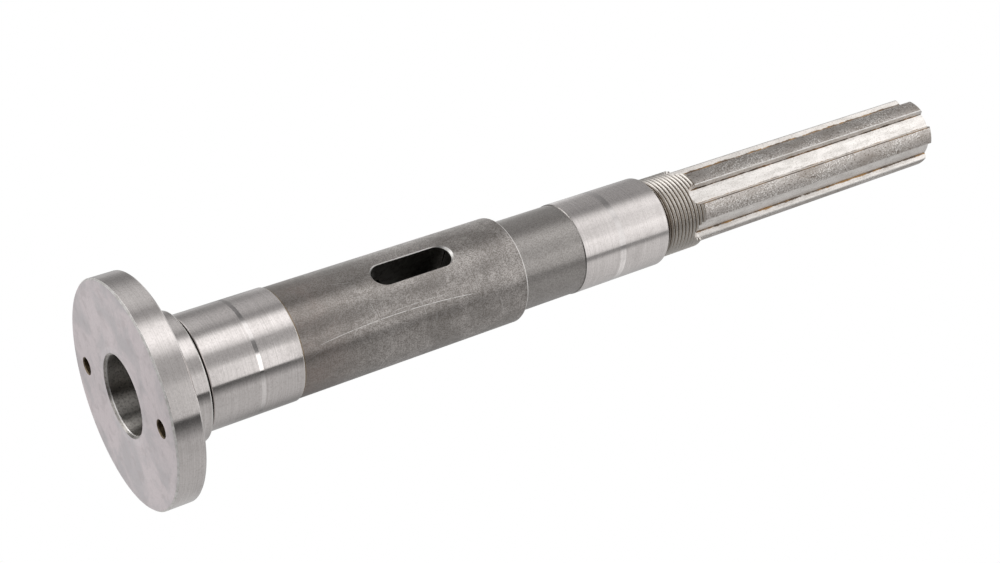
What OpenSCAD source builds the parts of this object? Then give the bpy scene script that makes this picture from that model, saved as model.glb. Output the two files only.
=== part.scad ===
// Milling machine spindle, one turned, ground and milled steel piece, standing on its nose face.
// Z is the axis of rotation, z = 0 is the nose face, and the drift slot opens along X.

/* [Nose flange] */
// Diameter of the nose flange
flange_d = 68.4; // [64:0.1:90]
// Thickness of the nose flange
flange_t = 8.7; // [6:0.1:16]
// Chamfer on both rims of the flange
flange_chamfer = 0.5; // [0.2:0.1:1.5]
// Diameter of the boss behind the flange
boss_d = 39.2; // [37:0.1:46]
// Length of the boss
boss_l = 9.4; // [6:0.1:20]
// Chamfer on the end of the boss
boss_chamfer = 0.4; // [0.2:0.1:0.8]

/* [Nose screw holes] */
// Diameter of the two tapping holes in the nose face
nose_hole_d = 5; // [4:0.1:6.8]
// Circle that the tapping holes lie on
nose_hole_pcd = 51.2; // [44:0.1:56]
// Drilled depth of the tapping holes, which go right through a flange that is thinner than this
nose_hole_depth = 12; // [4:0.5:16]
// Angle of the first tapping hole from the drift slot
nose_hole_angle = 62; // [0:1:90]
// Countersink round each tapping hole
nose_hole_chamfer = 0.3; // [0.1:0.1:0.8]

/* [Taper socket] */
// Gauge diameter of the self-holding taper, at the nose face
taper_gauge_d = 23.825; // [20:0.005:26]
// Loss of diameter per millimetre of depth
taper_rate = 0.0502; // [0.04:0.0001:0.06]
// Lead-in chamfer at the mouth of the socket
mouth_chamfer = 0.7; // [0.3:0.1:1.5]
// Diameter of the plain bore behind the taper
tang_bore_d = 20.2; // [19:0.1:21]
// Depth of the plain bore, from the nose face
tang_bore_depth = 84; // [76:0.5:100]
// Diameter of the bore for the draw bar
draw_bore_d = 13.5; // [8:0.1:16]
// Lead-in chamfer where the draw bar enters
draw_bore_chamfer = 1; // [0.3:0.1:1.5]

/* [Drift slot] */
// Width of the slot
slot_w = 8.2; // [6:0.1:11]
// Length of the slot, over its round ends
slot_l = 27.2; // [20:0.1:36]
// Distance of the slot's near end from the nose face
slot_start = 78.3; // [70:0.1:85]

/* [Bearing seats] */
// Diameter of the front bearing seat
front_seat_d = 35; // [34.5:0.01:36.5]
// Length of the front bearing seat, with the grinding relief
front_seat_l = 30.3; // [20:0.1:50]
// Chamfer on the end of the front seat
front_seat_chamfer = 0.3; // [0.1:0.05:0.6]
// Width of the grinding relief beside the boss
relief_w = 1.1; // [0.6:0.1:3]
// Depth of the grinding relief below the front seat
relief_depth = 0.35; // [0.1:0.05:0.8]
// Diameter of the rear bearing seat
rear_seat_d = 30; // [29.8:0.01:32]
// Length of the rear bearing seat
rear_seat_l = 34.9; // [20:0.1:60]
// Chamfer on the end of the rear seat
rear_seat_chamfer = 1; // [0.3:0.1:1.4]

/* [Shaft] */
// Diameter of the unground body between the seats
body_d = 34.25; // [32:0.05:34.4]
// Length of the body
body_l = 78.9; // [60:0.1:120]
// Chamfer on the end of the body
body_chamfer = 0.6; // [0.3:0.1:1.8]
// Diameter of the turned band in front of the rear seat
band_d = 29.5; // [28:0.1:29.7]
// Length of the turned band
band_l = 23.8; // [10:0.1:60]

/* [Nut thread] */
// Major diameter of the nut thread
thread_d = 27; // [26:0.1:28]
// Length of the thread, with its relief
thread_l = 17.1; // [12:0.1:30]
// Chamfer on both ends of the thread
thread_chamfer = 0.6; // [0.3:0.1:0.9]
// Width of the thread relief beside the rear seat
thread_relief_w = 1.2; // [0.6:0.1:3]
// Diameter of the thread relief
thread_relief_d = 24.9; // [22:0.1:25.5]

/* [Spline] */
// Number of lands
lands = 6; // [4:1:8]
// Outer diameter over the lands
spline_d = 25; // [24:0.1:25.8]
// Diameter of the groove floors
spline_root_d = 21; // [19:0.1:23]
// Width of a land
land_w = 6; // [4:0.1:7]
// Length of the spline behind the thread
spline_l = 108.9; // [60:0.1:160]
// Chamfer on the end of the lands
spline_chamfer = 0.8; // [0.3:0.1:1.5]
// How far the centre of each cutter run-out lies inside the thread
runout_inset = 0.5; // [0:0.1:4]
// Angle of the first land from the drift slot
land_angle = 53; // [0:1:59]

/* [Hidden] */
$fn = 128;
over = 1;
drill_tip_angle = 118;
flange_z = flange_t;
boss_z = flange_z + boss_l;
front_seat_z = boss_z + front_seat_l;
body_z = front_seat_z + body_l;
band_z = body_z + band_l;
rear_seat_z = band_z + rear_seat_l;
thread_z = rear_seat_z + thread_l;
end_z = thread_z + spline_l;
steel = [0.69, 0.67, 0.66];

function taper_r(z) = (taper_gauge_d - taper_rate * z) / 2;
taper_end_z = min((taper_gauge_d - tang_bore_d) / taper_rate, tang_bore_depth);
tang_bore_end_z = tang_bore_depth + (tang_bore_d - draw_bore_d) / 2 / tan(drill_tip_angle / 2);

module turned_form() {
    rotate_extrude()
        polygon([
            [0, 0],
            [flange_d / 2 - flange_chamfer, 0],
            [flange_d / 2, flange_chamfer],
            [flange_d / 2, flange_z - flange_chamfer],
            [flange_d / 2 - flange_chamfer, flange_z],
            [boss_d / 2, flange_z],
            [boss_d / 2, boss_z - boss_chamfer],
            [boss_d / 2 - boss_chamfer, boss_z],
            [front_seat_d / 2 - relief_depth, boss_z],
            [front_seat_d / 2 - relief_depth, boss_z + relief_w],
            [front_seat_d / 2, boss_z + relief_w + relief_depth],
            [front_seat_d / 2, front_seat_z - front_seat_chamfer],
            [body_d / 2, front_seat_z],
            [body_d / 2, body_z - body_chamfer],
            [body_d / 2 - body_chamfer, body_z],
            [band_d / 2, body_z],
            [band_d / 2, band_z],
            [rear_seat_d / 2, band_z + (rear_seat_d - band_d) / 2],
            [rear_seat_d / 2, rear_seat_z - rear_seat_chamfer],
            [rear_seat_d / 2 - rear_seat_chamfer, rear_seat_z],
            [thread_relief_d / 2, rear_seat_z],
            [thread_relief_d / 2, rear_seat_z + thread_relief_w],
            [thread_d / 2 - thread_chamfer, rear_seat_z + thread_relief_w],
            [thread_d / 2, rear_seat_z + thread_relief_w + thread_chamfer],
            [thread_d / 2, thread_z - thread_chamfer],
            [thread_d / 2 - thread_chamfer, thread_z],
            [spline_d / 2, thread_z],
            [spline_d / 2, end_z - spline_chamfer],
            [spline_d / 2 - spline_chamfer, end_z],
            [0, end_z]
        ]);
}

// Taper socket, plain tang bore and draw-bar bore, on one axis from end to end.
module through_bore() {
    rotate_extrude()
        polygon([
            [0, -over],
            [taper_r(0) + mouth_chamfer + over, -over],
            [taper_r(mouth_chamfer), mouth_chamfer],
            [taper_r(taper_end_z), taper_end_z],
            [tang_bore_d / 2, taper_end_z],
            [tang_bore_d / 2, tang_bore_depth],
            [draw_bore_d / 2, tang_bore_end_z],
            [draw_bore_d / 2, end_z - draw_bore_chamfer],
            [draw_bore_d / 2 + draw_bore_chamfer + over, end_z + over],
            [0, end_z + over]
        ]);
}

// The key that drives a taper out is struck through this slot, so it crosses the whole shaft.
module drift_slot() {
    for (z = [slot_start + slot_w / 2, slot_start + slot_l - slot_w / 2])
        translate([-body_d / 2 - over, 0, z])
            rotate([0, 90, 0])
                cylinder(d = slot_w, h = body_d + 2 * over);
    translate([-body_d / 2 - over, -slot_w / 2, slot_start + slot_w / 2])
        cube([body_d + 2 * over, slot_w, slot_l - slot_w]);
}

module tapping_hole() {
    tip = nose_hole_d / 2 / tan(drill_tip_angle / 2);
    mouth = nose_hole_d / 2 + nose_hole_chamfer;
    translate([0, 0, -over])
        cylinder(d = nose_hole_d, h = nose_hole_depth + over);
    translate([0, 0, nose_hole_depth])
        cylinder(r1 = nose_hole_d / 2, r2 = 0, h = tip);
    translate([0, 0, -over])
        cylinder(r1 = mouth + over, r2 = nose_hole_d / 2, h = nose_hole_chamfer + over);
}

module nose_holes() {
    for (side = [0, 180])
        rotate(nose_hole_angle + side)
            translate([nose_hole_pcd / 2, 0, 0])
                tapping_hole();
}

// One groove of the spline, cut along +X. Its flanks are those of the two lands beside it, so they
// meet in an apex. A taper cutter with that same apex leaves the round run-out inside the thread.
module spline_groove() {
    half_step = 180 / lands;
    apex = land_w / 2 / sin(half_step);
    reach = thread_d / 2 + over - apex;
    spread = reach * tan(half_step);
    cut_z = thread_z - runout_inset;
    translate([0, 0, cut_z])
        linear_extrude(end_z - cut_z + over)
            polygon([[apex, 0], [apex + reach, -spread], [apex + reach, spread]]);
    translate([apex, 0, cut_z])
        rotate([0, 90, 0])
            cylinder(r1 = 0, r2 = spread, h = reach);
}

module spline_grooves() {
    difference() {
        for (i = [0:lands - 1])
            rotate(land_angle + (i + 0.5) * 360 / lands)
                spline_groove();
        translate([0, 0, rear_seat_z])
            cylinder(d = spline_root_d, h = end_z - rear_seat_z + 2 * over);
    }
}

module spindle() {
    color(steel)
        difference() {
            turned_form();
            through_bore();
            drift_slot();
            nose_holes();
            spline_grooves();
        }
}

spindle();
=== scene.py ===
import math
import bmesh
import bpy
from mathutils import Matrix, Vector


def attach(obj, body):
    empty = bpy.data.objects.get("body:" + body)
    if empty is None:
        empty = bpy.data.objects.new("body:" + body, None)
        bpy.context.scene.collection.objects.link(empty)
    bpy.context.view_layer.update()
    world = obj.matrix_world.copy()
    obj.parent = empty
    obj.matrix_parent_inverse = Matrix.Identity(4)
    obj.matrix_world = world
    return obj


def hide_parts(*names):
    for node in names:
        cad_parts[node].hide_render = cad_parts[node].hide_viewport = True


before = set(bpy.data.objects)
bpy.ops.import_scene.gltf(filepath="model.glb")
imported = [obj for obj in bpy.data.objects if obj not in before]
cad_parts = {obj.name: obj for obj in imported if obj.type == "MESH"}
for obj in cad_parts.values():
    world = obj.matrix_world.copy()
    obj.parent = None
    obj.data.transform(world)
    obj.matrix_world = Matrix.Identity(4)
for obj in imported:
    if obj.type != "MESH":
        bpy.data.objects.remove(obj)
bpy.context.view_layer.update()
mm = 0.001
tiny = 1e-7  # metres, below any real size
drillPoint = math.radians(118.0)
alongX = Matrix.Rotation(math.pi / 2, 4, "Y")  # lays a form that is made along z down along x

# camera, solved from the photograph, in metres
cameraFacts = {
    "place": (0.38385, 0.27007, -0.14605),
    "right": (0.20753, 0.53622, 0.81817),
    "up": (0.67199, -0.68595, 0.27911),
    "lens": 62.01,
    "sensor": 36.0,
}


def makeCamera():
    right = Vector(cameraFacts["right"]).normalized()
    up = Vector(cameraFacts["up"])
    up = (up - right * up.dot(right)).normalized()
    back = right.cross(up)
    data = bpy.data.cameras.new("photoCamera")
    data.lens = cameraFacts["lens"]
    data.sensor_width = cameraFacts["sensor"]
    data.clip_start = 0.01
    camera = bpy.data.objects.new("photoCamera", data)
    turn = Matrix((right, up, back)).transposed().to_4x4()
    camera.matrix_world = Matrix.Translation(cameraFacts["place"]) @ turn
    bpy.context.collection.objects.link(camera)
    bpy.context.scene.camera = camera
    print("camera placed")


def pieceFrom(bm, name, zone=None, outward=True):
    if outward:
        bmesh.ops.recalc_face_normals(bm, faces=bm.faces)
    if zone:
        for face in bm.faces:
            face.material_index = zoneOf[zone]
    mesh = bpy.data.meshes.new(name)
    bm.to_mesh(mesh)
    bm.free()
    piece = bpy.data.objects.new(name, mesh)
    bpy.context.collection.objects.link(piece)
    return piece


# a closed outline of radii and heights in millimetres, turned right round the axis
def revolve(profile, segments, rounding=0.0):
    bm = bmesh.new()
    verts = [bm.verts.new((r * mm, 0, z * mm)) for r, z in profile]
    for i in range(len(verts)):
        bm.edges.new((verts[i - 1], verts[i]))
    if rounding:
        corners = [v for v in verts if v.co.x > tiny]
        bmesh.ops.bevel(bm, geom=corners, offset=rounding * mm, offset_type="OFFSET", affect="VERTICES",
                        segments=3, profile=0.5, material=-1, clamp_overlap=True)
    bmesh.ops.spin(bm, geom=bm.verts[:] + bm.edges[:], cent=(0, 0, 0), axis=(0, 0, 1), angle=math.tau,
                   steps=segments, use_merge=True, use_duplicate=False)
    bmesh.ops.remove_doubles(bm, verts=bm.verts, dist=tiny)
    return bm


def combine(piece, other, operation):
    modifier = piece.modifiers.new("combine", "BOOLEAN")
    modifier.operation = operation
    modifier.solver = "EXACT"
    modifier.object = other
    bpy.context.view_layer.update()
    graph = bpy.context.evaluated_depsgraph_get()
    mesh = bpy.data.meshes.new_from_object(piece.evaluated_get(graph))
    piece.modifiers.clear()
    piece.data = mesh
    bpy.data.objects.remove(other)
    return piece


# zones of one surface, which are also the places of their materials
zones = ["groundSteel", "noseFace", "bodySkin", "turnedBand", "threadSteel", "landTop", "splineCut",
         "boreSteel", "slotWall", "wornEdge", "tappingHole"]
zoneOf = {name: i for i, name in enumerate(zones)}

# millimetres, up the axis from the nose face
spindleFacts = {
    "segments": 156, "round": 0.1, "wornIn": 0.32, "wornBack": 0.37,
    "flangeR": 34.2, "flangeZ": 8.7, "flangeEdge": 0.5,
    "bossR": 19.6, "bossZ": 18.1, "bossEdge": 0.4,
    "reliefZ": 19.2, "reliefDepth": 0.35,
    "frontR": 17.5, "frontZ": 48.4, "frontEdge": 0.3,
    "bodyR": 17.125, "bodyZ": 127.3, "bodyEdge": 0.6,
    "bandR": 14.75, "bandZ": 151.1,
    "rearR": 15.0, "rearZ": 186.0, "rearEdge": 1.0,
    "nutReliefR": 12.45, "nutReliefZ": 187.2,
    "threadZ": 203.1,
    "landR": 12.5, "endZ": 312.0, "landEdge": 0.8,
    "taperMouthR": 11.9125, "taperSlope": 0.0251, "mouthEdge": 0.7,
    "mouthIn": 0.2, "mouthOut": 0.14, "mouthLip": 0.12,
    "tangR": 10.1, "tangZ": 84.0, "drawR": 6.75, "drawEdge": 1.0,
}
threadFacts = {
    "majorR": 13.5, "depth": 0.92, "pitch": 1.5, "flankAngle": 30.0, "steps": 96, "turns": 13, "lead": 1.2,
    "crest": 0.19, "crown": 0.04, "worn": 0.11, "shoulder": 0.05, "sunk": 0.3, "sharp": 25.0,
    "edge": 0.6, "clear": 0.2, "sleeveWall": 1.0, "sleeveSegments": 192,
}


# a chamfer worn into two slopes, the steep one first
def wornCorner(radius, depth, z, edge):
    f = spindleFacts
    return [(radius, z - edge), (radius - depth * f["wornIn"], z - edge * f["wornBack"]), (radius - depth, z)]


def spindleProfile():
    f = spindleFacts
    coreR = threadFacts["majorR"] - threadFacts["depth"]
    taperEnd = (f["taperMouthR"] - f["tangR"]) / f["taperSlope"]
    tangEnd = f["tangZ"] + (f["tangR"] - f["drawR"]) / math.tan(drillPoint / 2)
    return [
        (f["taperMouthR"] + f["mouthEdge"], 0),
        (f["flangeR"] - f["flangeEdge"], 0),
        (f["flangeR"], f["flangeEdge"]),
        (f["flangeR"], f["flangeZ"] - f["flangeEdge"]),
        (f["flangeR"] - f["flangeEdge"], f["flangeZ"]),
        (f["bossR"], f["flangeZ"]),
        *wornCorner(f["bossR"], f["bossEdge"], f["bossZ"], f["bossEdge"]),
        (f["frontR"] - f["reliefDepth"], f["bossZ"]),
        (f["frontR"] - f["reliefDepth"], f["reliefZ"]),
        (f["frontR"], f["reliefZ"] + f["reliefDepth"]),
        *wornCorner(f["frontR"], f["frontR"] - f["bodyR"], f["frontZ"], f["frontEdge"]),
        *wornCorner(f["bodyR"], f["bodyEdge"], f["bodyZ"], f["bodyEdge"]),
        (f["bandR"], f["bodyZ"]),
        (f["bandR"], f["bandZ"]),
        (f["rearR"], f["bandZ"] + f["rearR"] - f["bandR"]),
        (f["rearR"], f["rearZ"] - f["rearEdge"]),
        (f["rearR"] - f["rearEdge"], f["rearZ"]),
        (f["nutReliefR"], f["rearZ"]),
        (f["nutReliefR"], f["nutReliefZ"]),
        (coreR, f["nutReliefZ"]),
        (coreR, f["threadZ"]),
        (f["landR"], f["threadZ"]),
        (f["landR"], f["endZ"] - f["landEdge"]),
        (f["landR"] - f["landEdge"], f["endZ"]),
        (f["drawR"] + f["drawEdge"], f["endZ"]),
        (f["drawR"], f["endZ"] - f["drawEdge"]),
        (f["drawR"], tangEnd),
        (f["tangR"], f["tangZ"]),
        (f["tangR"], taperEnd),
        (f["taperMouthR"] - f["taperSlope"] * f["mouthEdge"], f["mouthEdge"] + f["mouthIn"]),
        (f["taperMouthR"] + f["mouthLip"], f["mouthEdge"] - f["mouthOut"]),
    ]


slotFacts = {
    "width": 8.2, "length": 27.2, "start": 78.3, "beyond": 3.0, "segments": 64,
    "flareIn": 16.0, "flareOut": 19.0, "flareR": 3.88, "flareSlope": 0.75,
}


def slotCutter():
    f = slotFacts
    radius = f["width"] / 2
    reach = spindleFacts["bodyR"] + f["beyond"]
    bm = bmesh.new()
    low = (f["start"] + radius) * mm
    stand = Matrix.Translation((-reach * mm, 0, low)) @ alongX
    bmesh.ops.create_circle(bm, cap_ends=True, segments=f["segments"], radius=radius * mm, matrix=stand)
    upper = [v for v in bm.verts if v.co.z > low + tiny]
    bmesh.ops.translate(bm, verts=upper, vec=(0, 0, (f["length"] - f["width"]) * mm))
    out = bmesh.ops.extrude_face_region(bm, geom=bm.faces[:])
    moved = [g for g in out["geom"] if isinstance(g, bmesh.types.BMVert)]
    bmesh.ops.translate(bm, verts=moved, vec=(2 * reach * mm, 0, 0))
    return pieceFrom(bm, "slotCutter", "slotWall")


# the worn lip of the slot's two mouths
def flareCutter():
    f = slotFacts
    depth = f["flareOut"] - f["flareIn"]
    low = (f["start"] + f["width"] / 2) * mm
    bm = bmesh.new()
    for side in (0, math.pi):
        stand = Matrix.Translation(((f["flareIn"] + depth / 2) * mm, 0, low)) @ alongX
        bmesh.ops.create_cone(bm, cap_ends=True, segments=f["segments"], radius1=f["flareR"] * mm,
                              radius2=(f["flareR"] + f["flareSlope"] * depth) * mm, depth=depth * mm,
                              matrix=Matrix.Rotation(side, 4, "Z") @ stand)
    upper = [v for v in bm.verts if v.co.z > low + tiny]
    bmesh.ops.translate(bm, verts=upper, vec=(0, 0, (f["length"] - f["width"]) * mm))
    return pieceFrom(bm, "flareCutter", "wornEdge")


holeFacts = {
    "r": 2.5, "circleR": 25.6, "depth": 12.0, "angle": 62.0, "edge": 0.3, "beyond": 1.0, "segments": 48,
}


# the tapping hole on one side of the nose, with its countersink and drill point
def holeCutter(side):
    f = holeFacts
    tip = f["r"] / math.tan(drillPoint / 2)
    profile = [
        (0, -f["beyond"]),
        (f["r"] + f["edge"] + f["beyond"], -f["beyond"]),
        (f["r"], f["edge"]),
        (f["r"], f["depth"]),
        (0, f["depth"] + tip),
    ]
    bm = revolve(profile, f["segments"])
    turn = Matrix.Rotation(math.radians(f["angle"] + side), 4, "Z")
    bmesh.ops.transform(bm, matrix=turn @ Matrix.Translation((f["circleR"] * mm, 0, 0)), verts=bm.verts)
    return pieceFrom(bm, "holeCutter", "tappingHole")


splineFacts = {
    "lands": 6, "rootR": 10.5, "landWidth": 6.0, "angle": 53.0, "runoutInset": 0.5, "reach": 14.5,
    "inner": 8.0, "overEnd": 2.0, "coreBelow": 6.0, "coreAbove": 5.0, "segments": 96,
}


# six grooves, each with the round run-out of its cutter, and the core that they leave
def grooveCutter():
    f = splineFacts
    halfStep = math.pi / f["lands"]
    apex = f["landWidth"] / 2 / math.sin(halfStep)
    outer = (f["reach"] - apex) * math.tan(halfStep)
    inner = (f["inner"] - apex) * math.tan(halfStep)
    cutZ = spindleFacts["threadZ"] - f["runoutInset"]
    length = spindleFacts["endZ"] - cutZ + f["overEnd"]
    bm = bmesh.new()
    for i in range(f["lands"]):
        one = bmesh.new()
        bmesh.ops.create_circle(one, cap_ends=True, segments=f["segments"], radius=outer * mm,
                                matrix=alongX)
        out = bmesh.ops.extrude_face_region(one, geom=one.faces[:])
        near = [g for g in out["geom"] if isinstance(g, bmesh.types.BMVert)]
        far = [v for v in one.verts if v not in near]
        bmesh.ops.scale(one, verts=near, vec=(1, inner / outer, inner / outer))
        bmesh.ops.translate(one, verts=near, vec=(f["inner"] * mm, 0, 0))
        bmesh.ops.translate(one, verts=far, vec=(f["reach"] * mm, 0, 0))
        top = [v for v in one.verts if v.co.z > tiny]
        bmesh.ops.translate(one, verts=top, vec=(0, 0, length * mm))
        turn = Matrix.Rotation(math.radians(f["angle"]) + (2 * i + 1) * halfStep, 4, "Z")
        bmesh.ops.transform(one, matrix=turn @ Matrix.Translation((0, 0, cutZ * mm)), verts=one.verts)
        mesh = bpy.data.meshes.new("groove")
        one.to_mesh(mesh)
        one.free()
        bm.from_mesh(mesh)
    cutter = pieceFrom(bm, "grooveCutter", "splineCut")
    low, high = spindleFacts["rearZ"] - f["coreBelow"], spindleFacts["endZ"] + f["coreAbove"]
    root = bmesh.new()
    bmesh.ops.create_cone(root, cap_ends=True, segments=spindleFacts["segments"], radius1=f["rootR"] * mm,
                          radius2=f["rootR"] * mm, depth=(high - low) * mm,
                          matrix=Matrix.Translation((0, 0, (low + high) / 2 * mm)))
    return combine(cutter, pieceFrom(root, "rootCylinder", "splineCut"), "DIFFERENCE")


landEdgeFacts = {"depth": 0.13, "bar": 0.8, "start": 203.25, "beyond": 1.0, "darkEdged": (0, 5)}


# the worn edges along both sides of every land
def landEdgeCutter():
    f = landEdgeFacts
    half = splineFacts["landWidth"] / 2
    corner = math.sqrt(spindleFacts["landR"] ** 2 - half ** 2)
    lean = (math.pi / 2 + math.asin(half / spindleFacts["landR"])) / 2
    low, high = f["start"], spindleFacts["endZ"] + f["beyond"]
    size = Matrix.Diagonal((2 * f["bar"] * mm, 2 * f["bar"] * mm, (high - low) * mm, 1))
    shift = Matrix.Translation(((f["bar"] - f["depth"]) * mm, 0, 0))
    bm = bmesh.new()
    for i in range(splineFacts["lands"]):
        angle = math.radians(splineFacts["angle"]) + math.tau * i / splineFacts["lands"]
        turn = Matrix.Rotation(angle, 4, "Z")
        # two lands have an edge in the grooves' material, with a dark line along it, all other edges are
        # bright
        for side, zone in ((-1, "splineCut" if i in f["darkEdged"] else "wornEdge"), (1, "wornEdge")):
            place = Matrix.Translation((corner * mm, side * half * mm, (low + high) / 2 * mm))
            way = turn @ place @ Matrix.Rotation(side * lean, 4, "Z") @ shift @ size
            bar = bmesh.ops.create_cube(bm, size=1.0, matrix=way)
            for face in {face for vert in bar["verts"] for face in vert.link_faces}:
                face.material_index = zoneOf[zone]
    return pieceFrom(bm, "landEdgeCutter")


# tolerances in millimetres, then how far a face's normal leans along the axis
zoneFacts = {
    "near": 0.02, "endNear": 0.05, "lipNear": 0.16, "lipR": 0.2, "coreGap": 0.3, "seatCorner": 0.3,
    "flat": 0.9, "lean": 0.2, "steep": 0.95,
}


def zoneAt(radius, z, normal, outward):
    f = spindleFacts
    g = zoneFacts
    near = g["near"]
    atNose = z < g["endNear"] and normal.z < -g["flat"]
    atEnd = z > f["endZ"] - g["endNear"] and normal.z > g["flat"]
    if atNose or atEnd:
        return "noseFace"
    if z > f["endZ"] - f["drawEdge"] and normal.z > g["lean"]:
        return "wornEdge"
    if z < f["flangeEdge"] and radius > f["bossR"] and normal.z < -g["lean"]:
        return "wornEdge"
    if abs(z - f["mouthEdge"]) < g["lipNear"] and radius < f["taperMouthR"] + g["lipR"]:
        return "wornEdge"
    inMouth = z < f["mouthEdge"] and radius < f["taperMouthR"] + f["mouthEdge"]
    if outward < -g["lean"] or radius < splineFacts["rootR"] - g["coreGap"] or inMouth:
        return "boreSteel"
    for part in ("boss", "front", "body"):
        top, edge = f[part + "Z"], f[part + "Edge"]
        if top - edge - near < z < top + near and g["lean"] < normal.z < g["steep"]:
            return "wornEdge"
    if f["frontZ"] - near < z < f["bodyZ"] + near:
        return "bodySkin"
    if f["bodyZ"] < z < f["bandZ"] + g["seatCorner"]:
        return "turnedBand"
    if z > f["threadZ"] + near:
        return "landTop"
    if z > f["rearZ"] + near:
        return "threadSteel"
    return "groundSteel"


# names the zone of every face that no cutter made
def finishBody(body):
    weld = 0.002 * mm
    bm = bmesh.new()
    bm.from_mesh(body.data)
    bmesh.ops.remove_doubles(bm, verts=bm.verts, dist=weld)
    for face in bm.faces:
        face.smooth = True
        if face.material_index == 0:
            middle = face.calc_center_median()
            radius = middle.to_2d().length
            outward = face.normal.to_2d().dot(middle.to_2d()) / max(radius, tiny)
            face.material_index = zoneOf[zoneAt(radius / mm, middle.z / mm, face.normal, outward)]
    bm.to_mesh(body.data)
    bm.free()


# how far a round face's normal may point aside, and the worn front rim of the flange
normalFacts = {"aside": 0.012, "rimZ": 0.6, "rimLean": 3.0}


# exact normals round the axis; planes keep their own
def setNormals(piece):
    f = normalFacts
    mesh = piece.data
    normals = [Vector((0, 0, 1))] * len(mesh.loops)
    for face in mesh.polygons:
        middle = face.center.to_2d()
        radial = middle.normalized()
        along = face.normal.to_2d().dot(radial)
        aside = abs(face.normal.to_2d().dot(Vector((-radial.y, radial.x))))
        # the rim shades almost like the nose face beside it
        onRim = middle.length > spindleFacts["bossR"] * mm and face.center.z < f["rimZ"] * mm
        lean = f["rimLean"] if onRim and face.normal.z < -zoneFacts["lean"] else 1.0
        for corner in face.loop_indices:
            spot = mesh.vertices[mesh.loops[corner].vertex_index].co.to_2d()
            if aside < f["aside"] and spot.length > tiny:
                way = spot.normalized() * along
                normals[corner] = Vector((way.x, way.y, face.normal.z * lean)).normalized()
            else:
                normals[corner] = face.normal.copy()
    mesh.normals_split_custom_set(normals)


def makeSpindleBody():
    f = spindleFacts
    bm = revolve(spindleProfile(), f["segments"], f["round"])
    # half a step of turn keeps the facets' edges clear of the edges of the slot and the lands
    halfStep = Matrix.Rotation(math.pi / f["segments"], 3, "Z")
    bmesh.ops.rotate(bm, cent=(0, 0, 0), matrix=halfStep, verts=bm.verts)
    body = pieceFrom(bm, "spindleBody")
    cutters = [slotCutter, flareCutter, lambda: holeCutter(0), lambda: holeCutter(180), grooveCutter,
               landEdgeCutter]
    for cutter in cutters:
        combine(body, cutter(), "DIFFERENCE")
    finishBody(body)
    setNormals(body)
    print("spindle body made", len(body.data.polygons))
    return body


# a right-hand ridge round the thread core, cut off square at both ends and by the grooves
def makeThread():
    f = threadFacts
    coreR = f["majorR"] - f["depth"]
    flank = f["depth"] * math.tan(math.radians(f["flankAngle"]))
    low = spindleFacts["nutReliefZ"] - f["lead"] * f["pitch"]
    half = f["crest"] / 2
    upper = [
        (f["majorR"], half - f["crown"]),
        (f["majorR"] - f["worn"], half + f["shoulder"]),
        (coreR, flank + half),
        (coreR - f["sunk"], flank + half + f["shoulder"]),
    ]
    outline = [(r, -z) for r, z in reversed(upper)] + upper
    bm = bmesh.new()
    face = bm.faces.new([bm.verts.new((r * mm, 0, (low + z) * mm)) for r, z in outline])
    rise = (0, 0, f["pitch"] * mm / f["steps"])
    bmesh.ops.spin(bm, geom=[face], cent=(0, 0, 0), axis=(0, 0, 1), dvec=rise, angle=math.tau * f["turns"],
                   steps=f["steps"] * f["turns"], use_merge=False, use_duplicate=False)
    ridge = pieceFrom(bm, "nutThread", "threadSteel")
    lowZ, highZ = spindleFacts["nutReliefZ"], spindleFacts["threadZ"]
    # the sleeve stands clear of the crests, as surfaces that touch would make the cuts unsure
    wall, inner, outer = coreR - f["sleeveWall"], f["majorR"] - f["edge"], f["majorR"] + f["clear"]
    slope = outer - inner
    outline = [(wall, lowZ), (inner, lowZ), (outer, lowZ + slope), (outer, highZ - slope), (inner, highZ),
               (wall, highZ)]
    sleeve = pieceFrom(revolve(outline, f["sleeveSegments"]), "threadSleeve", "threadSteel")
    combine(ridge, combine(sleeve, grooveCutter(), "DIFFERENCE"), "INTERSECT")
    bm = bmesh.new()
    bm.from_mesh(ridge.data)
    for face in bm.faces:
        face.smooth = True
    for edge in bm.edges:
        edge.smooth = edge.calc_face_angle(0) < math.radians(f["sharp"])
    bm.to_mesh(ridge.data)
    bm.free()
    print("thread made", len(ridge.data.polygons))
    return ridge


# adds a node; a socket given as a value is linked, anything else is set on the input itself
def addNode(tree, kind, inputs=None, out=0, **settings):
    node = tree.nodes.new(kind)
    for name, value in settings.items():
        setattr(node, name, value)
    for name, value in (inputs or {}).items():
        if isinstance(value, bpy.types.NodeSocket):
            tree.links.new(value, node.inputs[name])
        else:
            node.inputs[name].default_value = value
    return node.outputs[out]


def mathNode(tree, operation, a, b=None, c=None):
    inputs = {i: value for i, value in enumerate((a, b, c)) if value is not None}
    return addNode(tree, "ShaderNodeMath", inputs, operation=operation)


def product(tree, a, b):
    return mathNode(tree, "MULTIPLY", a, b)


def total(tree, a, b):
    return mathNode(tree, "ADD", a, b)


def gapBetween(tree, a, b):
    return mathNode(tree, "ABSOLUTE", mathNode(tree, "SUBTRACT", a, b))


def vectorNode(tree, operation, a, b=None, out=0):
    inputs = {0: a} if b is None else {0: a, 1: b}
    return addNode(tree, "ShaderNodeVectorMath", inputs, out, operation=operation)


def remap(tree, value, low, high, toLow=0.0, toHigh=1.0, smooth=True):
    return addNode(tree, "ShaderNodeMapRange", {0: value, 1: low, 2: high, 3: toLow, 4: toHigh},
                   interpolation_type="SMOOTHSTEP" if smooth else "LINEAR")


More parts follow.
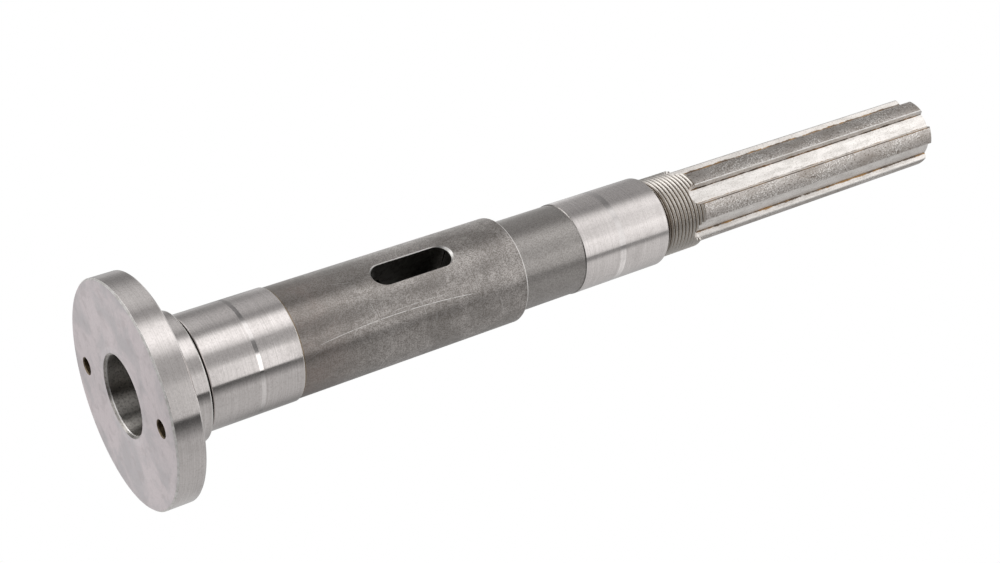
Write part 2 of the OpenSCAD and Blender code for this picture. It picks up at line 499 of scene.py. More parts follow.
# each of the two is a socket or a colour of three numbers
def mixColour(tree, amount, first, second):
    first, second = [c if isinstance(c, bpy.types.NodeSocket) else (*c, 1.0) for c in (first, second)]
    return addNode(tree, "ShaderNodeMix", {0: amount, 6: first, 7: second}, out=2, data_type="RGBA")


# lays a colour over another where the mask rises from low to high, up to the given amount
def layer(tree, colour, mask, low, high, amount, over):
    return mixColour(tree, remap(tree, mask, low, high, 0.0, amount), colour, over)


# a value that sways with a noise about its middle, which is a number or a socket
def swayed(tree, noise, swing, middle):
    if isinstance(middle, bpy.types.NodeSocket):
        start = mathNode(tree, "SUBTRACT", middle, swing / 2)
    else:
        start = middle - swing / 2
    return mathNode(tree, "MULTIPLY_ADD", noise, swing, start)


# full between two values, with a rise before them and a fall behind them
def plateau(tree, value, start, full, fade, end):
    return product(tree, remap(tree, value, start, full), remap(tree, value, end, fade))


def noiseNode(tree, place, scale, stretch=(1, 1, 1), detail=3.0, rough=0.55, distort=0.0):
    way = addNode(tree, "ShaderNodeMapping", {"Vector": place, "Scale": stretch})
    return addNode(tree, "ShaderNodeTexNoise", {"Vector": way, "Scale": scale, "Detail": detail,
                                                "Roughness": rough, "Distortion": distort})


def splitPlace(tree, place):
    split = tree.nodes.new("ShaderNodeSeparateXYZ")
    tree.links.new(place, split.inputs[0])
    return list(split.outputs)


def turnBack(tree, place, degrees):
    return addNode(tree, "ShaderNodeVectorRotate", {"Vector": place, "Angle": -math.radians(degrees)},
                   rotation_type="Z_AXIS")


def scaled(colour, factor):
    return tuple(c * factor for c in colour)


def newMaterial(name):
    material = bpy.data.materials.new(name)
    material.use_nodes = True
    tree = material.node_tree
    tree.nodes.clear()
    return material, tree, addNode(tree, "ShaderNodeTexCoord", out=3)


# height up the axis and distance from it in millimetres, and the angle round it
def heightOf(tree, place):
    return product(tree, splitPlace(tree, place)[2], 1 / mm)


def angleOf(tree, place):
    x, y = splitPlace(tree, place)[:2]
    return mathNode(tree, "ARCTAN2", y, x)


def radiusOf(tree, place):
    x, y = splitPlace(tree, place)[:2]
    squares = total(tree, product(tree, x, x), product(tree, y, y))
    return product(tree, mathNode(tree, "SQRT", squares), 1 / mm)


def endTree(tree, shader, kind="ShaderNodeOutputMaterial"):
    out = tree.nodes.new(kind)
    tree.links.new(shader, out.inputs["Surface"])


# facts give the height of the bumps in millimetres and how far the gloss is drawn out round the axis
def finishMetal(tree, facts, colour, rough, height):
    bsdf = tree.nodes.new("ShaderNodeBsdfPrincipled")
    bsdf.inputs["Metallic"].default_value = 1.0
    tree.links.new(colour, bsdf.inputs["Base Color"])
    tree.links.new(rough, bsdf.inputs["Roughness"])
    if "anisotropic" in facts:
        tangent = addNode(tree, "ShaderNodeTangent", direction_type="RADIAL", axis="Z")
        bsdf.inputs["Anisotropic"].default_value = facts["anisotropic"]
        bsdf.inputs["Anisotropic Rotation"].default_value = 0.25
        tree.links.new(tangent, bsdf.inputs["Tangent"])
    bumped = addNode(tree, "ShaderNodeBump", {"Height": height, "Distance": facts["bump"] * mm,
                                                "Strength": 1.0})
    tree.links.new(bumped, bsdf.inputs["Normal"])
    endTree(tree, bsdf.outputs[0])


# marks that run round the axis, fine in z and long in x and y
def ringMarks(tree, place, fine):
    return noiseNode(tree, place, 1.0, stretch=(40, 40, fine), detail=4.0, rough=0.7)


groundFacts = {
    "colour": (0.795, 0.748, 0.730), "stain": (0.61, 0.57, 0.55), "oil": (0.16, 0.115, 0.07),
    "polish": (0.92, 0.89, 0.88), "shade": (0.02, 0.018, 0.015),
    "rough": 0.16, "swing": 0.06, "anisotropic": 0.9, "bump": 0.0012,
    # heights of the polished rings, then of the oily corners with their widths
    "rings": [(34.3, 35.6), (165.2, 167.4)], "soft": 0.1, "ringRough": -0.11, "ringShare": 0.3,
    "corners": [(8.75, 0.25), (48.3, 0.22), (151.2, 0.2), (186.0, 0.12)], "oilFade": 1.6, "oilShare": 0.85,
    # radii and heights of the grinding relief, which lies in shade
    "reliefR": (17.42, 17.3), "reliefZ": (17.9, 18.0, 19.3, 19.5),
}


def groundSteel():
    f = groundFacts
    material, tree, place = newMaterial("groundSteel")
    rmm = radiusOf(tree, place)
    zmm = heightOf(tree, place)
    fine = ringMarks(tree, place, 3400)
    broad = ringMarks(tree, place, 900)
    cloud = noiseNode(tree, place, 130, detail=4.0, rough=0.6)
    grain = noiseNode(tree, place, 1500, detail=2.0, rough=0.6)
    stain = remap(tree, cloud, 0.45, 0.75)
    colour = mixColour(tree, product(tree, stain, 0.35), f["colour"], f["stain"])
    colour = layer(tree, colour, fine, 0.35, 0.65, 0.30, scaled(f["stain"], 0.75))
    colour = layer(tree, colour, grain, 0.45, 0.70, 0.32, scaled(f["stain"], 0.8))
    rough = swayed(tree, fine, f["swing"], f["rough"])
    rough = swayed(tree, broad, f["swing"], rough)
    rough = mathNode(tree, "MULTIPLY_ADD", stain, 0.05, rough)
    # polished by the bearings
    for low, high in f["rings"]:
        ring = plateau(tree, zmm, low - f["soft"], low + f["soft"], high - f["soft"], high + f["soft"])
        rough = mathNode(tree, "MULTIPLY_ADD", ring, f["ringRough"], rough)
        colour = mixColour(tree, product(tree, ring, f["ringShare"]), colour, f["polish"])
    # old oil in the corners, but none on the flange's back beyond the boss
    beyond = mathNode(tree, "SUBTRACT", rmm, spindleFacts["bossR"] + f["soft"])
    for middle, width in f["corners"]:
        gap = mathNode(tree, "MAXIMUM", gapBetween(tree, zmm, middle), beyond)
        gap = mathNode(tree, "MULTIPLY_ADD", cloud, width, gap)
        oil = remap(tree, gap, width * f["oilFade"], width, 0.0, f["oilShare"])
        colour = mixColour(tree, oil, colour, f["oil"])
    deep = product(tree, remap(tree, rmm, *f["reliefR"]), plateau(tree, zmm, *f["reliefZ"]))
    colour = mixColour(tree, deep, colour, f["shade"])
    finishMetal(tree, f, colour, rough, total(tree, fine, grain))
    return material


noseFacts = {
    "colour": (0.665, 0.600, 0.612), "cloud": (0.540, 0.510, 0.522), "dark": (0.47, 0.42, 0.425),
    "rubbed": (0.78, 0.76, 0.77), "rub": (12.6, 12.9, 14.3, 14.8), "rubShare": 0.14,
    "rough": 0.40, "swing": 0.12, "grainSwing": 0.06, "anisotropic": 0.3, "bump": 0.003,
}


def noseFace():
    f = noseFacts
    material, tree, place = newMaterial("noseFace")
    rmm = radiusOf(tree, place)
    cloud = noiseNode(tree, place, 75, detail=5.0, rough=0.6, distort=0.6)
    smudge = noiseNode(tree, place, 230, detail=4.0, rough=0.65, distort=0.5)
    grain = noiseNode(tree, place, 1100, detail=3.0, rough=0.6)
    turns = addNode(tree, "ShaderNodeTexNoise", {"W": rmm, "Scale": 4.0, "Detail": 3.0},
                    noise_dimensions="1D")
    colour = mixColour(tree, remap(tree, cloud, 0.42, 0.62), f["colour"], f["cloud"])
    colour = layer(tree, colour, smudge, 0.50, 0.68, 0.5, f["dark"])
    colour = layer(tree, colour, grain, 0.45, 0.65, 0.2, f["dark"])
    colour = layer(tree, colour, turns, 0.35, 0.7, 0.16, f["dark"])
    rub = product(tree, plateau(tree, rmm, *f["rub"]), f["rubShare"])
    colour = mixColour(tree, rub, colour, f["rubbed"])
    rough = swayed(tree, cloud, f["swing"], f["rough"])
    rough = swayed(tree, grain, f["grainSwing"], rough)
    finishMetal(tree, f, colour, rough, total(tree, turns, grain))
    return material


# one straight scratch in some of the cells, along a plane through the cell's own point
def strayScratches(tree, place, scale, stretch, width, share):
    way = addNode(tree, "ShaderNodeMapping", {"Vector": place, "Scale": tuple(scale * s for s in stretch)})
    cells = tree.nodes.new("ShaderNodeTexVoronoi")
    cells.inputs["Scale"].default_value = 1.0
    tree.links.new(way, cells.inputs["Vector"])
    local = vectorNode(tree, "SUBTRACT", way, cells.outputs["Position"])
    lean = vectorNode(tree, "SUBTRACT", cells.outputs["Color"], (0.5, 0.5, 0.5))
    lean = vectorNode(tree, "NORMALIZE", lean)
    gap = mathNode(tree, "ABSOLUTE", vectorNode(tree, "DOT_PRODUCT", local, lean, out=1))
    chance = mathNode(tree, "FRACT", product(tree, cells.outputs["Color"], 9.7))
    line = product(tree, remap(tree, gap, width, width * 0.35), remap(tree, chance, share + 0.01, share))
    return product(tree, line, remap(tree, cells.outputs["Distance"], 0.6, 0.3))


# a scratch that bows from first over middle to last while it runs from start to end, all in millimetres
def longScratch(tree, along, across, scratch):
    start, end, first, middle, last, width = scratch
    part = remap(tree, along, start, end, smooth=False)
    bow = product(tree, part, mathNode(tree, "SUBTRACT", 1.0, part))
    track = mathNode(tree, "MULTIPLY_ADD", part, last - first, first)
    track = mathNode(tree, "MULTIPLY_ADD", bow, 4 * middle - 2 * first - 2 * last, track)
    gap = gapBetween(tree, across, track)
    return product(tree, remap(tree, gap, width, width * 0.4), remap(tree, bow, 0.0, 0.03))


bodyFacts = {
    "colour": (0.40, 0.374, 0.356), "light": (0.60, 0.563, 0.540), "brown": (0.195, 0.175, 0.158),
    "rust": (0.30, 0.20, 0.09), "bright": (0.90, 0.88, 0.86), "tint": (0.30, 0.235, 0.21),
    "rough": 0.36, "swing": 0.22, "anisotropic": 0.5, "bump": 0.008,
    # heights between which it grows rough and light, and those of the brown tint and the rusty line
    "roughZ": (50.0, 120.0), "lightZ": (50.0, 115.0), "tintZ": (72.0, 50.0), "rustZ": 48.6,
    # scratches along the shaft, by height, and round it, by arc from the slot
    "along": [(54.0, 107.5, 14.75, 13.3, 15.0, 0.12), (80.0, 98.0, 12.2, 12.1, 12.45, 0.06)],
    "round": [(11.2, 16.4, 89.0, 89.7, 89.95, 0.10), (7.6, 11.9, 73.2, 73.6, 74.1, 0.06),
              (13.2, 16.6, 66.6, 65.9, 64.6, 0.07)],
    # short ones: scale and stretch of their cells, width, share of the cells and strength
    "stray": [(85, (1, 1, 0.4), 0.007, 0.35, 0.3), (190, (1, 1, 0.5), 0.011, 0.4, 0.6)],
}


def bodySkin():
    f = bodyFacts
    material, tree, place = newMaterial("bodySkin")
    zmm = heightOf(tree, place)
    cloud = noiseNode(tree, place, 90, stretch=(1, 1, 0.7), detail=6.0, rough=0.68, distort=0.5)
    patch = noiseNode(tree, place, 640, stretch=(1, 1, 0.8), detail=5.0, rough=0.75)
    grain = noiseNode(tree, place, 2600, detail=2.0, rough=0.7)
    rings = ringMarks(tree, place, 1700)
    colour = mixColour(tree, remap(tree, cloud, 0.38, 0.64), f["colour"], f["light"])
    colour = layer(tree, colour, patch, 0.48, 0.68, 0.5, f["brown"])
    colour = layer(tree, colour, grain, 0.44, 0.58, 0.7, f["brown"])
    colour = layer(tree, colour, rings, 0.40, 0.70, 0.22, scaled(f["brown"], 0.9))
    # browner toward the nose, in clouds
    tintTowardNose = product(tree, remap(tree, zmm, *f["tintZ"]), remap(tree, cloud, 0.40, 0.60, 0.15, 0.6))
    colour = mixColour(tree, tintTowardNose, colour, f["tint"])
    arc = product(tree, angleOf(tree, place), spindleFacts["bodyR"])
    lines = [longScratch(tree, zmm, arc, scratch) for scratch in f["along"]]
    lines += [longScratch(tree, arc, zmm, scratch) for scratch in f["round"]]
    lines += [product(tree, strayScratches(tree, place, *stray), strength) for *stray, strength in f["stray"]]
    scratched = lines[0]
    for line in lines[1:]:
        scratched = mathNode(tree, "MAXIMUM", scratched, line)
    scratched = product(tree, scratched, remap(tree, patch, 0.40, 0.56, 0.15, 1.0))
    colour = mixColour(tree, scratched, colour, f["bright"])
    # a rusty line beside the front seat
    start = mathNode(tree, "MULTIPLY_ADD", patch, 0.5, mathNode(tree, "SUBTRACT", zmm, f["rustZ"]))
    colour = layer(tree, colour, start, 0.55, 0.15, 0.8, f["rust"])
    rough = swayed(tree, patch, f["swing"], f["rough"])
    # smoother and darker toward the nose
    rough = total(tree, rough, remap(tree, zmm, *f["roughZ"], -0.04, 0.04))
    colour = mixColour(tree, remap(tree, zmm, *f["lightZ"], 0.25, 0.0), colour, f["brown"])
    finishMetal(tree, f, colour, rough, total(tree, patch, rings))
    return material


bandFacts = {
    "colour": (0.47, 0.445, 0.428), "dark": (0.24, 0.222, 0.208), "pitch": 0.5, "wander": 3.0,
    "rough": 0.36, "swing": 0.12, "anisotropic": 0.6, "bump": 0.003,
}


def turnedBand():
    f = bandFacts
    material, tree, place = newMaterial("turnedBand")
    zmm = heightOf(tree, place)
    uneven = noiseNode(tree, place, 1.0, stretch=(40, 40, 1200), detail=2.0, rough=0.5)
    # rings of the turning tool, which wander a little
    turns = mathNode(tree, "MULTIPLY_ADD", uneven, f["wander"], product(tree, zmm, math.tau / f["pitch"]))
    turns = mathNode(tree, "MULTIPLY_ADD", mathNode(tree, "SINE", turns), 0.5, 0.5)
    cloud = noiseNode(tree, place, 420, stretch=(1, 1, 0.7), detail=5.0, rough=0.7)
    grain = noiseNode(tree, place, 2400, detail=2.0, rough=0.7)
    colour = mixColour(tree, product(tree, turns, 0.38), f["colour"], f["dark"])
    colour = layer(tree, colour, cloud, 0.45, 0.75, 0.35, f["dark"])
    colour = layer(tree, colour, grain, 0.42, 0.60, 0.62, f["dark"])
    rough = swayed(tree, uneven, f["swing"], f["rough"])
    finishMetal(tree, f, colour, rough, total(tree, turns, grain))
    return material


threadLook = {
    "crest": (0.75, 0.71, 0.665), "root": (0.25, 0.205, 0.16), "depth": (12.6, 13.15), "ragged": 0.3,
    "rough": 0.36, "swing": 0.2, "anisotropic": 0.4, "bump": 0.006,
}


def threadSteel():
    f = threadLook
    material, tree, place = newMaterial("threadSteel")
    rmm = radiusOf(tree, place)
    patch = noiseNode(tree, place, 700, detail=4.0, rough=0.65)
    level = swayed(tree, patch, f["ragged"], rmm)
    colour = mixColour(tree, remap(tree, level, *f["depth"]), f["root"], f["crest"])
    rough = swayed(tree, patch, f["swing"], f["rough"])
    finishMetal(tree, f, colour, rough, patch)
    return material


landFacts = {
    "colour": (0.50, 0.461, 0.431), "pit": (0.15, 0.12, 0.095), "light": (0.86, 0.83, 0.80),
    "rough": 0.40, "swing": 0.18, "anisotropic": 0.3, "bump": -0.01,
}


def landTop():
    f = landFacts
    material, tree, place = newMaterial("landTop")
    pits = noiseNode(tree, place, 1700, stretch=(1, 1, 0.7), detail=3.0, rough=0.65)
    cloud = noiseNode(tree, place, 260, stretch=(1, 1, 0.35), detail=5.0, rough=0.65)
    colour = mixColour(tree, remap(tree, cloud, 0.4, 0.7, 0.0, 0.45), f["colour"], scaled(f["pit"], 1.7))
    colour = layer(tree, colour, pits, 0.52, 0.64, 0.75, f["pit"])
    # bright specks, denser in some fields than in others
    specks = noiseNode(tree, place, 2300, stretch=(1, 1, 0.8), detail=2.0, rough=0.65)
    field = noiseNode(tree, place, 110, stretch=(1, 1, 0.5), detail=2.0)
    specks = product(tree, remap(tree, specks, 0.50, 0.60), remap(tree, field, 0.40, 0.64, 0.15, 1.0))
    colour = mixColour(tree, specks, colour, f["light"])
    rough = swayed(tree, cloud, f["swing"], f["rough"])
    finishMetal(tree, f, colour, rough, pits)
    return material


cutFacts = {
    "colour": (0.83, 0.795, 0.765), "dull": (0.60, 0.57, 0.54), "rust": (0.31, 0.17, 0.055),
    "sootAndShade": (0.10, 0.065, 0.04), "pit": (0.24, 0.20, 0.16), "flank": (0.42, 0.39, 0.36),
    "rough": 0.32, "swing": 0.14, "bump": 0.004,
    # the corner beside a land, the shape of its dark line and how ragged that is
    "corner": (10.062, 3.0), "narrow": 2.0, "base": 0.85, "ragged": 1.6,
    # the middle of the two dark-edged lands, in degrees before land 0, and the radii where their line begins
    "darkEdgeTurn": 30.0, "darkEdgeSpan": (0.35, 0.6), "cornerLess": 0.3, "edge": (12.0, 12.2), "edgeRagged": 0.5,
}


def splineCut():
    f = cutFacts
    s = splineFacts
    material, tree, place = newMaterial("splineCut")
    rmm = radiusOf(tree, place)
    # the angle within one land's sixth is measured from the middle of the land
    angle = angleOf(tree, turnBack(tree, place, s["angle"]))
    darkEdged = mathNode(tree, "COSINE", total(tree, angle, math.radians(f["darkEdgeTurn"])))
    darkEdged = remap(tree, darkEdged, *f["darkEdgeSpan"])
    step = math.tau / s["lands"]
    angle = mathNode(tree, "WRAP", angle, step / 2, -step / 2)
    across = mathNode(tree, "ABSOLUTE", product(tree, rmm, mathNode(tree, "SINE", angle)))
    outward = product(tree, rmm, mathNode(tree, "COSINE", angle))
    dx = mathNode(tree, "SUBTRACT", outward, f["corner"][0])
    dy = mathNode(tree, "SUBTRACT", across, f["corner"][1])
    wide = product(tree, dy, f["narrow"])
    gap = mathNode(tree, "SQRT", total(tree, product(tree, dx, dx), product(tree, wide, wide)))
    patch = noiseNode(tree, place, 500, stretch=(1, 1, 0.25), detail=4.0, rough=0.65)
    streak = noiseNode(tree, place, 1.0, stretch=(3500, 3500, 25), detail=3.0, rough=0.6)
    colour = mixColour(tree, remap(tree, patch, 0.4, 0.7, 0.0, 0.7), f["colour"], f["dull"])
    colour = layer(tree, colour, streak, 0.4, 0.7, 0.2, scaled(f["dull"], 0.8))
    # painted shade: the flanks of the lands are painted a little darker than the groove floor
    onFlank = remap(tree, mathNode(tree, "ABSOLUTE", dy), 0.12, 0.06)
    flank = product(tree, remap(tree, dx, 0.1, 0.35), onFlank)
    colour = mixColour(tree, product(tree, flank, 0.2), colour, f["flank"])
    pits = noiseNode(tree, place, 2300, stretch=(1, 1, 0.8), detail=2.0, rough=0.65)
    colour = layer(tree, colour, pits, 0.50, 0.68, 0.36, f["pit"])
    ragged = noiseNode(tree, place, 420, stretch=(1, 1, 0.6), detail=4.0, rough=0.75)
    near = mathNode(tree, "MULTIPLY_ADD", ragged, -f["ragged"], total(tree, gap, f["base"]))
    # at the dark-edged sides the dark line lies along the outer edge of the land, not in the corner
    side = product(tree, darkEdged, mathNode(tree, "LESS_THAN", angle, 0.0))
    near = mathNode(tree, "MULTIPLY_ADD", side, f["cornerLess"], near)
    edge = swayed(tree, ragged, f["edgeRagged"], rmm)
    edge = product(tree, side, remap(tree, edge, *f["edge"], 0.0, 0.9))
    rust = mixColour(tree, remap(tree, patch, 0.40, 0.54), f["rust"], f["sootAndShade"])
    colour = layer(tree, colour, near, 0.60, 0.25, 0.95, rust)
    colour = mixColour(tree, edge, colour, rust)
    rough = swayed(tree, patch, f["swing"], f["rough"])
    finishMetal(tree, f, colour, rough, total(tree, streak, patch))
    return material


boreFacts = {
    "colour": (0.56, 0.533, 0.504), "dark": (0.34, 0.322, 0.298), "sootAndShade": (0.07, 0.062, 0.052),
    "paintedShadeDepth": (7.0, 15.0), "rough": 0.37, "swing": 0.14, "anisotropic": 1.0, "bump": 0.002,
}


def boreSteel():
    f = boreFacts
    material, tree, place = newMaterial("boreSteel")
    zmm = heightOf(tree, place)
    turns = ringMarks(tree, place, 2200)
    cloud = noiseNode(tree, place, 160, stretch=(1, 1, 0.5), detail=4.0, rough=0.6)
    colour = mixColour(tree, remap(tree, turns, 0.35, 0.7, 0.0, 0.6), f["colour"], f["dark"])
    colour = layer(tree, colour, cloud, 0.4, 0.7, 0.5, f["dark"])
    grain = noiseNode(tree, place, 1500, detail=3.0, rough=0.7)
    colour = layer(tree, colour, grain, 0.45, 0.65, 0.45, f["sootAndShade"])
    # painted shade: from 7 to 15 mm into the bore the wall darkens to near black
    colour = mixColour(tree, remap(tree, zmm, *f["paintedShadeDepth"], 0.0, 0.85), colour, f["sootAndShade"])
    rough = swayed(tree, turns, f["swing"], f["rough"])
    finishMetal(tree, f, colour, rough, turns)
    return material


plainFacts = {
    "swing": 0.2, "bump": 0.006,
    # colour, darker colour and roughness
    "slotWall": ((0.20, 0.19, 0.175), (0.09, 0.08, 0.07), 0.45),
    "wornEdge": ((0.80, 0.78, 0.765), (0.62, 0.60, 0.57), 0.42),
    "tappingHole": ((0.26, 0.205, 0.14), (0.13, 0.10, 0.065), 0.5),
}


def plainCut(name):
    f = plainFacts
    colour, dark, roughness = f[name]
    material, tree, place = newMaterial(name)
    patch = noiseNode(tree, place, 600, detail=5.0, rough=0.65)
    mixed = mixColour(tree, remap(tree, patch, 0.35, 0.7), colour, dark)
    rough = swayed(tree, patch, f["swing"], roughness)
    finishMetal(tree, f, mixed, rough, patch)
    return material


def giveMaterials(piece):
    makers = {
        "groundSteel": groundSteel, "noseFace": noseFace, "bodySkin": bodySkin, "turnedBand": turnedBand,
        "threadSteel": threadSteel, "landTop": landTop, "splineCut": splineCut, "boreSteel": boreSteel,
    }
    for name in zones:
        material = bpy.data.materials.get(name)
        if material is None:
            material = makers[name]() if name in makers else plainCut(name)
        piece.data.materials.append(material)
    print("materials given to", piece.name)


# a round light tent: each row is a height and the level of the wall there, by the angle from the
# camera's side, so that long strips of light and shade lie along the shaft
tentFacts = {
    "radius": 0.7, "low": -0.62, "high": 1.5, "segments": 144, "turn": 35.13, "top": 2.4,
    "weld": 1e-5, "blend": 0.1, "lip": 0.005,
    "base": [(-0.70, 1.2), (-0.55, 1.6), (-0.40, 1.2), (-0.20, 0.80), (0.0, 0.62), (0.2, 0.52),
             (0.4, 0.5), (0.7, 0.5)],
    "rows": [
        (-0.40, [(-180, 0.84), (-166, 0.84), (-152, 0.20), (-128, 0.16), (-114, 0.9), (-104, 2.3),
                 (-82, 2.4), (-70, 0.7), (-65, 0.05), (-55, 0.05), (-46, 0.9), (-34, 1.1), (-12, 1.1),
                 (2, 0.4), (14, 0.01), (46, 0.01), (60, 0.24), (120, 0.26), (146, 0.40), (166, 0.84),
                 (180, 0.84)]),
        (-0.10, [(-180, 0.86), (-166, 0.84), (-152, 0.20), (-128, 0.16), (-114, 1.1), (-104, 2.2),
                 (-82, 2.2), (-70, 0.6), (-65, 0.05), (-55, 0.05), (-46, 0.7), (-34, 0.85), (-12, 0.85),
                 (2, 0.3), (14, 0.01), (46, 0.01), (60, 0.20), (120, 0.22), (146, 0.40), (166, 0.84),
                 (180, 0.86)]),
        (0.23, [(-180, 0.45), (-150, 0.50), (-140, 0.32), (-130, 0.25), (-120, 0.28), (-108, 0.42),
                (-96, 0.55), (-86, 0.60), (-76, 0.55), (-70, 0.36), (-62, 0.52), (-52, 1.15), (-38, 1.28),
                (-29, 0.92), (-20, 0.47), (-8, 0.41), (4, 0.42), (10, 0.46), (36, 0.46), (38.5, 0.03),
                (44, 0.08), (52, 0.28), (60, 0.48), (72, 0.54), (150, 0.56), (180, 0.45)]),
        (0.31, [(-180, 0.45), (-150, 0.58), (-140, 0.42), (-128, 0.30), (-112, 0.45), (-100, 0.55),
                (-88, 0.50), (-74, 0.32), (-66, 0.46), (-54, 1.3), (-40, 1.42), (-30, 1.0), (-20, 0.40),
                (-10, 0.38), (-4, 0.50), (6, 1.1), (36.8, 1.14), (38, 0.05), (45, 0.18), (52, 0.36),
                (60, 0.60), (70, 0.50), (90, 0.54), (108, 0.44), (124, 0.32), (140, 0.22), (155, 0.24),
                (180, 0.40)]),
        (0.45, [(-180, 0.70), (-160, 1.05), (-150, 1.15), (-140, 1.0), (-130, 0.74), (-110, 0.54),
                (-88, 0.44), (-76, 0.33), (-66, 0.52), (-54, 1.15), (-40, 1.12), (-30, 0.95), (-20, 0.55),
                (-8, 0.60), (0, 0.75), (8, 1.15), (32, 1.15), (41, 0.42), (46, 0.34), (56, 0.52),
                (64, 0.56), (80, 0.52), (90, 0.50), (104, 0.60), (120, 0.62), (140, 0.56), (155, 0.50),
                (180, 0.60)]),
        (0.60, [(-180, 0.5), (-150, 0.80), (-130, 0.48), (-110, 0.42), (-88, 0.34), (-76, 0.28),
                (-68, 0.34), (-60, 0.52), (-44, 0.74), (-20, 0.84), (0, 0.90), (8, 1.05), (20, 0.98),
                (32, 0.9), (41, 0.82), (43, 0.25), (50, 0.28), (56, 0.66), (62, 0.74), (80, 0.67),
                (100, 0.58), (150, 0.52), (180, 0.5)]),
        (0.72, [(-180, 0.30), (-130, 0.28), (-110, 0.30), (-88, 0.42), (-70, 0.45), (-58, 0.8),
                (-46, 1.1), (-36, 1.1), (-26, 0.85), (0, 0.95), (8, 1.25), (20, 1.1), (36, 0.9),
                (41, 0.7), (44, 0.32), (50, 0.36), (56, 0.6), (80, 0.66), (110, 0.60), (130, 0.5),
                (180, 0.40)]),
        (0.85, [(-180, 0.80), (-150, 0.78), (-130, 0.66), (-110, 0.52), (-88, 0.40), (-70, 0.50),
                (-58, 1.1), (-46, 1.5), (8, 1.45), (20, 1.1), (36, 0.85), (44, 0.45), (56, 0.55),
                (80, 0.62), (120, 0.55), (180, 0.50)]),
    ],
    # narrow bands at the heights that the two bearing marks mirror: middle, half width and levels
    "bands": [
        (0.308, 0.014, [(-180, 0.4), (-126, 0.22), (-76, 0.14), (-66, 0.3), (-56, 1.15), (-28, 1.1),
                        (-20, 0.2), (-10, 0.13), (2, 0.16), (8, 1.7), (36, 1.7), (39, 0.05), (56, 0.5),
                        (64, 0.7), (110, 0.6), (140, 0.22), (180, 0.4)]),
        (0.637, 0.016, [(-180, 0.5), (-120, 0.3), (-72, 0.15), (-62, 0.25), (-50, 1.1), (-30, 0.65),
                        (-16, 0.92), (30, 1.0), (41, 0.8), (43, 0.2), (50, 0.3), (58, 0.95), (110, 0.85),
                        (150, 0.5), (180, 0.5)]),
    ],
}


# stops run over span, such as the whole round of -180 to 180 degrees
def levelRamp(tree, place, stops, top, span=(-180, 180)):
    node = tree.nodes.new("ShaderNodeValToRGB")
    ramp = node.color_ramp
    while len(ramp.elements) > 1:
        ramp.elements.remove(ramp.elements[-1])
    for i, (angle, level) in enumerate(stops):
        spot = (angle - span[0]) / (span[1] - span[0])
        element = ramp.elements[0] if i == 0 else ramp.elements.new(spot)
        element.position = spot
        element.color = (level / top, level / top, level / top, 1)
    tree.links.new(place, node.inputs[0])
    return node.outputs[0]


def makeTent():
    f = tentFacts
    bm = bmesh.new()
    middle = Matrix.Translation((0, 0, (f["high"] + f["low"]) / 2))
    bmesh.ops.create_cone(bm, cap_ends=False, segments=f["segments"], radius1=f["radius"],
                          radius2=f["radius"], depth=f["high"] - f["low"], matrix=middle)
    bmesh.ops.create_circle(bm, cap_ends=True, segments=f["segments"], radius=f["radius"],
                            matrix=Matrix.Translation((0, 0, f["low"])))
    bmesh.ops.remove_doubles(bm, verts=bm.verts, dist=f["weld"])
    tent = pieceFrom(bm, "lightTent")
    material, tree, place = newMaterial("tentWall")
    x, y, z = splitPlace(tree, turnBack(tree, place, f["turn"]))
    angle = mathNode(tree, "MULTIPLY_ADD", mathNode(tree, "ARCTAN2", y, x), 1 / math.tau, 0.5)
    # the tent's base glows by the distance to one side, and its front half like the lowest row
    aside = remap(tree, y, -f["radius"], f["radius"], smooth=False)
    level = levelRamp(tree, aside, f["base"], f["top"], (-f["radius"], f["radius"]))
    front = levelRamp(tree, angle, f["rows"][0][1], f["top"])
    level = mixColour(tree, remap(tree, x, -f["blend"], f["blend"]), level, front)
    below = f["low"] + f["lip"]
    for height, stops in f["rows"]:
        row = levelRamp(tree, angle, stops, f["top"])
        level = mixColour(tree, remap(tree, z, below, height), level, row)
        below = height
    for height, half, stops in f["bands"]:
        band = levelRamp(tree, angle, stops, f["top"])
        level = mixColour(tree, remap(tree, gapBetween(tree, z, height), half, half / 2), level, band)
    glow = addNode(tree, "ShaderNodeEmission", {"Color": level, "Strength": f["top"]})
    endTree(tree, glow)
    tent.data.materials.append(material)
    tent.visible_camera = False
    tent.visible_shadow = False
    tent.visible_diffuse = False


floorFacts = {"size": 1.2, "z": -0.0002, "segments": 96, "colour": (0.88, 0.88, 0.88), "fade": (0.25, 0.9)}


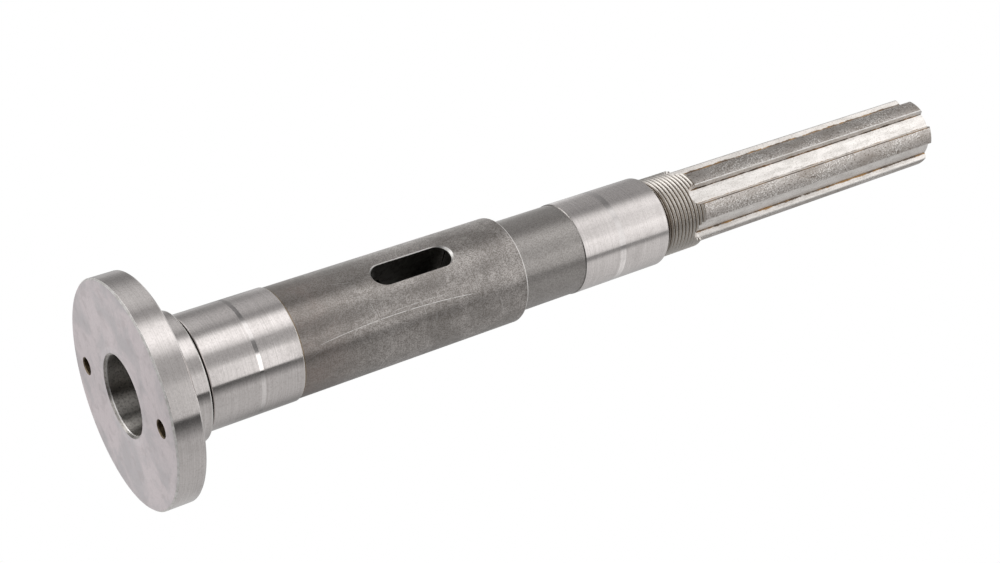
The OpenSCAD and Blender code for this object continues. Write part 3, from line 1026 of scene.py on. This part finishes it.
# seen from above it is pale paper that fades into the white background; from below, where the
# photograph looks up, it is clear
def makeFloor():
    f = floorFacts
    bm = bmesh.new()
    bmesh.ops.create_circle(bm, cap_ends=True, segments=f["segments"], radius=f["size"],
                            matrix=Matrix.Translation((0, 0, f["z"])))
    for face in bm.faces:
        if face.normal.z < 0:
            face.normal_flip()
    floor = pieceFrom(bm, "floorPaper", outward=False)
    material, tree, place = newMaterial("floorPaper")
    grain = remap(tree, noiseNode(tree, place, 400), 0.3, 0.7, 0.0, 0.06)
    colour = mixColour(tree, grain, f["colour"], scaled(f["colour"], 0.9))
    paper = addNode(tree, "ShaderNodeBsdfDiffuse", {"Color": colour})
    clear = addNode(tree, "ShaderNodeBsdfTransparent")
    side = tree.nodes.new("ShaderNodeNewGeometry")
    away = vectorNode(tree, "LENGTH", place, out=1)
    faded = mathNode(tree, "MAXIMUM", remap(tree, away, *f["fade"]), side.outputs["Backfacing"])
    endTree(tree, addNode(tree, "ShaderNodeMixShader", {0: faded, 1: paper, 2: clear}))
    floor.data.materials.append(material)
    floor.visible_glossy = False
    floor.visible_diffuse = False
    floor.visible_shadow = False


lampFacts = {"place": (0.5, -0.4, 1.3), "aim": (0, 0, 0.12), "size": 0.7, "power": 9.0}


def makeLamp():
    f = lampFacts
    data = bpy.data.lights.new("softLamp", "AREA")
    data.shape = "DISK"
    data.size = f["size"]
    data.energy = f["power"]
    lamp = bpy.data.objects.new("softLamp", data)
    place = Vector(f["place"])
    turn = (place - Vector(f["aim"])).to_track_quat("Z", "Y").to_matrix().to_4x4()
    lamp.matrix_world = Matrix.Translation(place) @ turn
    bpy.context.collection.objects.link(lamp)
    lamp.visible_glossy = False


worldFacts = {"level": 0.65}


def makeWorld():
    world = bpy.data.worlds.new("studio")
    bpy.context.scene.world = world
    world.use_nodes = True
    tree = world.node_tree
    tree.nodes.clear()
    path = tree.nodes.new("ShaderNodeLightPath")
    seen = mathNode(tree, "MAXIMUM", path.outputs["Is Camera Ray"], path.outputs["Is Glossy Ray"])
    seen = mathNode(tree, "MAXIMUM", seen, path.outputs["Is Transmission Ray"])
    strength = remap(tree, seen, 0.0, 1.0, worldFacts["level"], 1.0, smooth=False)
    back = tree.nodes.new("ShaderNodeBackground")
    back.inputs["Color"].default_value = (1, 1, 1, 1)
    tree.links.new(strength, back.inputs["Strength"])
    endTree(tree, back.outputs[0], "ShaderNodeOutputWorld")
    bpy.context.scene.view_settings.view_transform = "Standard"
    print("studio made")


makeCamera()
body = makeSpindleBody()
thread = makeThread()
for piece in (body, thread):
    giveMaterials(piece)
    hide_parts("spindle")
    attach(piece, "root")
makeTent()
makeFloor()
makeLamp()
makeWorld()
